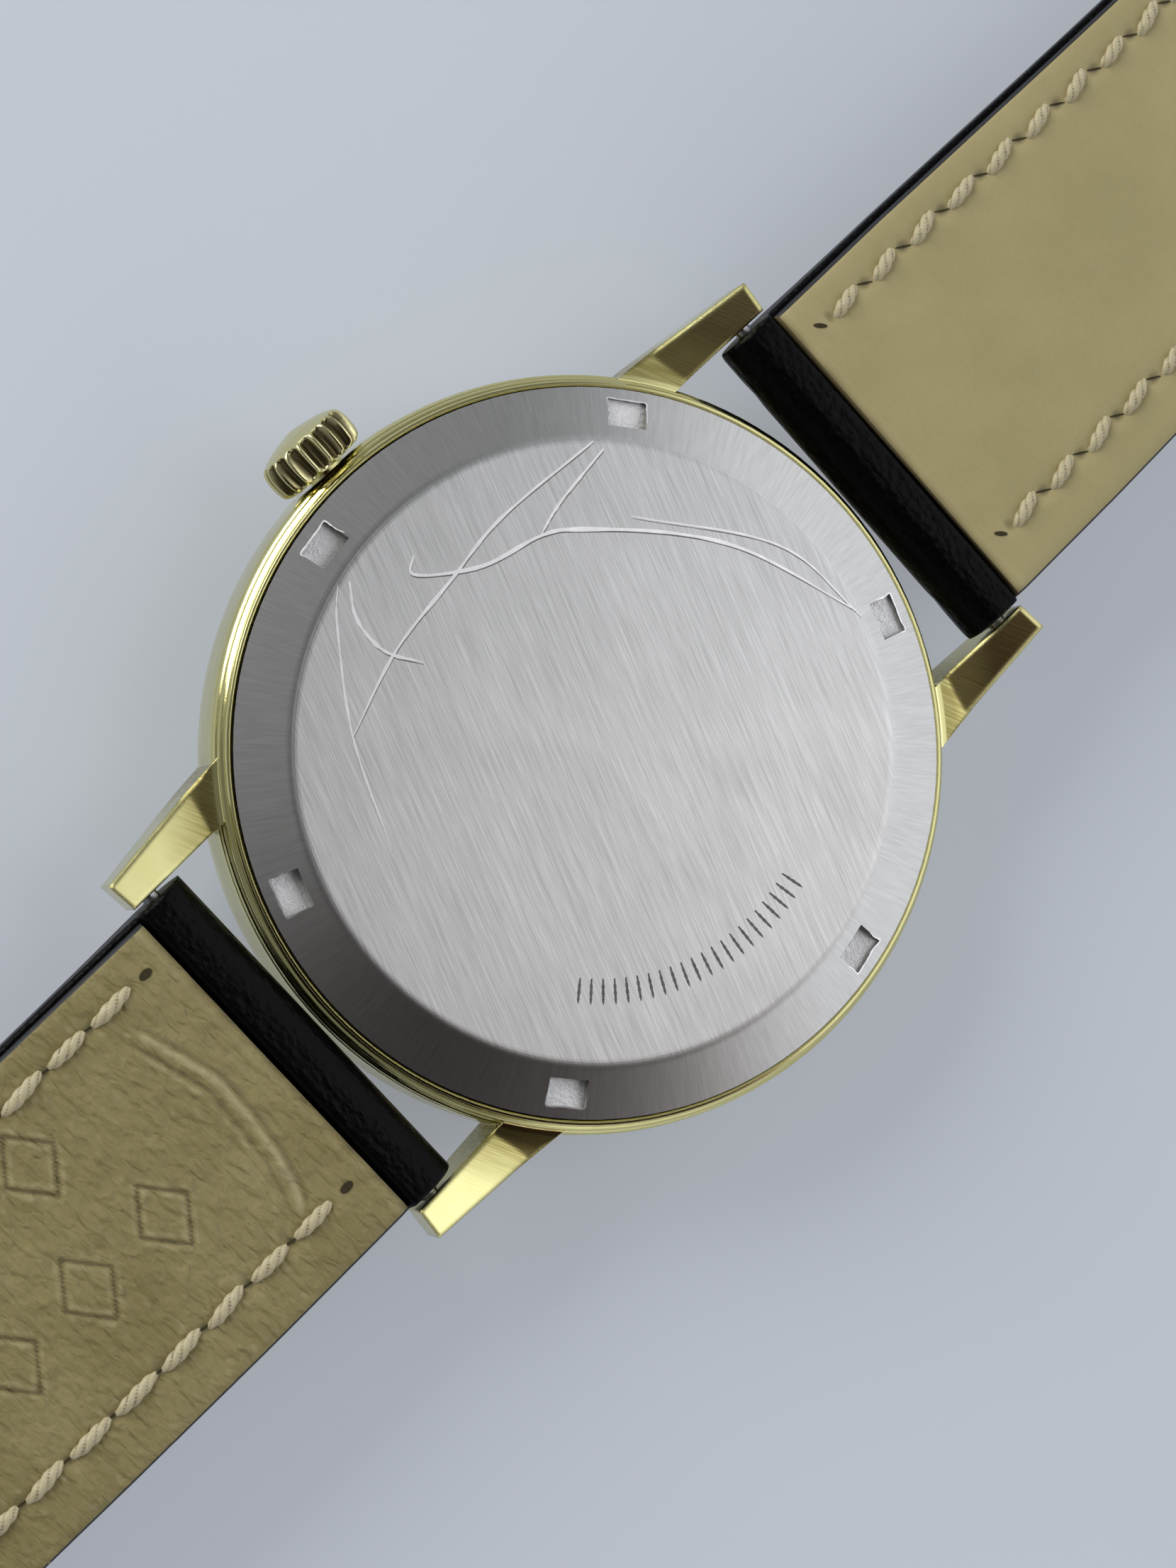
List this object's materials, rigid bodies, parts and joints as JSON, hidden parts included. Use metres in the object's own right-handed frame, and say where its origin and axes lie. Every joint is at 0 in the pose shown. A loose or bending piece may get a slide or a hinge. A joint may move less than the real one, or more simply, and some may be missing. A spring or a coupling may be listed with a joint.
{
  "type": "wristwatch",
  "caption": "Hand-wound round dress wristwatch with screw-on case back, fluted crown, domed crystal and a stitched leather pin-buckle strap, lying face down.",
  "frame": {"origin": "middle of the flat face of the case back, on the case axis", "axes": "+Z out of the case back, +Y towards 12 o'clock and the buckle piece of the strap, +X towards 9 o'clock, so the crown is at -X"},
  "size_m": [0.0363, 0.2368, 0.0086],
  "materials": {
    "gold_plate": "polished gold-plated brass",
    "back_steel": "brushed stainless steel",
    "steel": "machined steel",
    "movement_plate": "rhodium-plated brass",
    "wheel_brass": "gilt brass",
    "spring_steel": "blued spring steel",
    "crystal": "clear acrylic",
    "dial": "silvered dial",
    "ruby": "synthetic ruby",
    "rubber": "matt rubber",
    "strap_leather": "smooth black calf",
    "lining_leather": "beige nubuck lining",
    "thread": "waxed linen thread"
  },
  "bodies": {
    "case": {"mid_case": "gold_plate", "crown_tube": "gold_plate", "crystal": "crystal", "tension_ring": "gold_plate", "dial": "dial", "hour_markers": "gold_plate", "movement_ring": "movement_plate", "main_plate": "movement_plate", "barrel_bridge": "movement_plate", "train_bridge": "movement_plate", "pallet_bridge": "movement_plate", "balance_cock": "movement_plate", "jewels": "ruby", "bridge_screws": "steel", "spring_bar_12": "steel", "spring_bar_6": "steel"},
    "case_back_gasket": {"case_back_gasket": "rubber"},
    "case_back": {"case_back": "back_steel"},
    "crown_gasket": {"crown_gasket": "rubber"},
    "crown": {"crown": "gold_plate", "winding_stem": "steel"},
    "winding_pinion": {"winding_pinion": "steel"},
    "crown_wheel": {"crown_wheel": "steel"},
    "ratchet": {"ratchet_wheel": "steel", "barrel_arbor": "steel"},
    "click": {"click": "steel"},
    "barrel": {"mainspring_barrel": "wheel_brass", "mainspring": "spring_steel"},
    "centre": {"centre_wheel": "wheel_brass", "cannon_pinion": "steel", "minute_hand": "gold_plate"},
    "third_wheel": {"third_wheel": "wheel_brass"},
    "fourth": {"fourth_wheel": "wheel_brass", "seconds_hand": "gold_plate"},
    "escape_wheel": {"escape_wheel": "steel"},
    "pallet_fork": {"pallet_fork": "steel"},
    "balance": {"balance_wheel": "wheel_brass", "hairspring": "spring_steel"},
    "minute_wheel": {"minute_wheel": "wheel_brass"},
    "hour": {"hour_wheel": "wheel_brass", "hour_hand": "gold_plate"},
    "tip_12_left": {"spring_bar_12_tip_left": "steel"},
    "tip_12_right": {"spring_bar_12_tip_right": "steel"},
    "tip_6_left": {"spring_bar_6_tip_left": "steel"},
    "tip_6_right": {"spring_bar_6_tip_right": "steel"},
    "strap_12": {"strap_12_outer": "strap_leather", "strap_12_lining": "lining_leather", "strap_12_stitching": "thread", "fixed_keeper": "strap_leather", "buckle_bar": "steel"},
    "strap_6": {"strap_6_outer": "strap_leather", "strap_6_lining": "lining_leather", "strap_6_stitching": "thread"},
    "buckle": {"buckle_frame": "gold_plate"},
    "tongue": {"buckle_tongue": "gold_plate"},
    "free_keeper": {"free_keeper": "strap_leather"}
  },
  "joints": [
    {"name": "case_back_lift", "type": "slide", "parent": "case", "child": "case_back_gasket", "axis": [0, 0, 1], "range_m": [0, 0.00151]},
    {"name": "case_back_turn", "type": "hinge", "parent": "case_back_gasket", "child": "case_back", "pos_m": [0, 0, -0.001], "axis": [0, 0, 1], "range_deg": [0, 1080]},
    {"name": "crown_pull", "type": "slide", "parent": "case", "child": "crown_gasket", "axis": [-1, 0, 0], "range_m": [0, 0.001]},
    {"name": "crown_turn", "type": "hinge", "parent": "crown_gasket", "child": "crown", "pos_m": [-0.018, 0, -0.0028], "axis": [-1, 0, 0], "continuous": true},
    {"name": "winding_pinion_turn", "type": "hinge", "parent": "case", "child": "winding_pinion", "pos_m": [-0.0109, 0, -0.0028], "axis": [-1, 0, 0], "continuous": true},
    {"name": "crown_wheel_turn", "type": "hinge", "parent": "case", "child": "crown_wheel", "pos_m": [-0.0084, 0, -0.0012], "axis": [0, 0, 1], "continuous": true},
    {"name": "ratchet_turn", "type": "hinge", "parent": "case", "child": "ratchet", "pos_m": [-0.0042, 0.00463, -0.0012], "axis": [0, 0, 1], "continuous": true},
    {"name": "click_swing", "type": "hinge", "parent": "case", "child": "click", "pos_m": [-0.0095, 0.0066, -0.0012], "axis": [0, 0, 1], "range_deg": [0, 12], "stiffness_Nm_per_rad": 0.000001},
    {"name": "fourth_turn", "type": "hinge", "parent": "case", "child": "fourth", "pos_m": [0, -0.0066, -0.003], "axis": [0, 0, 1], "continuous": true},
    {"name": "centre_turn", "type": "hinge", "parent": "case", "child": "centre", "pos_m": [0, 0, -0.003], "axis": [0, 0, 1], "continuous": true},
    {"name": "third_turn", "type": "hinge", "parent": "case", "child": "third_wheel", "pos_m": [0.00337, -0.00362, -0.003], "axis": [0, 0, 1], "continuous": true},
    {"name": "escape_turn", "type": "hinge", "parent": "case", "child": "escape_wheel", "pos_m": [-0.00253, -0.00872, -0.003], "axis": [0, 0, 1], "continuous": true},
    {"name": "barrel_turn", "type": "hinge", "parent": "case", "child": "barrel", "pos_m": [-0.0042, 0.00463, -0.003], "axis": [0, 0, 1], "continuous": true},
    {"name": "minute_wheel_turn", "type": "hinge", "parent": "case", "child": "minute_wheel", "pos_m": [-0.0036, 0, -0.0043], "axis": [0, 0, 1], "continuous": true},
    {"name": "hour_turn", "type": "hinge", "parent": "case", "child": "hour", "pos_m": [0, 0, -0.0046], "axis": [0, 0, 1], "continuous": true},
    {"name": "pallet_swing", "type": "hinge", "parent": "case", "child": "pallet_fork", "pos_m": [-0.00432, -0.0072, -0.0032], "axis": [0, 0, 1], "range_deg": [-5, 5]},
    {"name": "balance_swing", "type": "hinge", "parent": "case", "child": "balance", "pos_m": [-0.0062, -0.0056, -0.0018], "axis": [0, 0, 1], "range_deg": [-270, 270], "stiffness_Nm_per_rad": 0.0000002},
    {"name": "strap_12_swing", "type": "hinge", "parent": "case", "child": "strap_12", "pos_m": [0, 0.0186, -0.00195], "axis": [1, 0, 0], "range_deg": [-70, 85]},
    {"name": "strap_6_swing", "type": "hinge", "parent": "case", "child": "strap_6", "pos_m": [0, -0.0186, -0.00195], "axis": [-1, 0, 0], "range_deg": [-70, 85]},
    {"name": "buckle_swing", "type": "hinge", "parent": "strap_12", "child": "buckle", "pos_m": [0, 0.0936, -0.00545], "axis": [1, 0, 0], "range_deg": [-30, 75]},
    {"name": "tongue_swing", "type": "hinge", "parent": "buckle", "child": "tongue", "pos_m": [0, 0.0936, -0.00545], "axis": [1, 0, 0], "range_deg": [-90, 0]},
    {"name": "free_keeper_slide", "type": "slide", "parent": "strap_12", "child": "free_keeper", "axis": [0, 1, 0], "range_m": [-0.005, 0.0035]},
    {"name": "tip_12_left_press", "type": "slide", "parent": "case", "child": "tip_12_left", "axis": [1, 0, 0], "range_m": [0, 0.001], "stiffness_N_per_m": 800, "springref_m": -0.001},
    {"name": "tip_12_right_press", "type": "slide", "parent": "case", "child": "tip_12_right", "axis": [-1, 0, 0], "range_m": [0, 0.001], "stiffness_N_per_m": 800, "springref_m": -0.001},
    {"name": "tip_6_left_press", "type": "slide", "parent": "case", "child": "tip_6_left", "axis": [1, 0, 0], "range_m": [0, 0.001], "stiffness_N_per_m": 800, "springref_m": -0.001},
    {"name": "tip_6_right_press", "type": "slide", "parent": "case", "child": "tip_6_right", "axis": [-1, 0, 0], "range_m": [0, 0.001], "stiffness_N_per_m": 800, "springref_m": -0.001}
  ],
  "couplings": [
    {"joint": "case_back_lift", "follows": "case_back_turn", "m_per_rad": 0.000079577},
    {"joint": "winding_pinion_turn", "follows": "crown_turn", "ratio": 1},
    {"joint": "crown_wheel_turn", "follows": "crown_turn", "ratio": -0.6},
    {"joint": "ratchet_turn", "follows": "crown_turn", "ratio": 0.4},
    {"joint": "centre_turn", "follows": "fourth_turn", "ratio": 0.016667},
    {"joint": "third_turn", "follows": "fourth_turn", "ratio": -0.13333},
    {"joint": "escape_turn", "follows": "fourth_turn", "ratio": -10},
    {"joint": "barrel_turn", "follows": "fourth_turn", "ratio": -0.0025641},
    {"joint": "minute_wheel_turn", "follows": "fourth_turn", "ratio": -0.0055556},
    {"joint": "hour_turn", "follows": "fourth_turn", "ratio": 0.0013889}
  ]
}
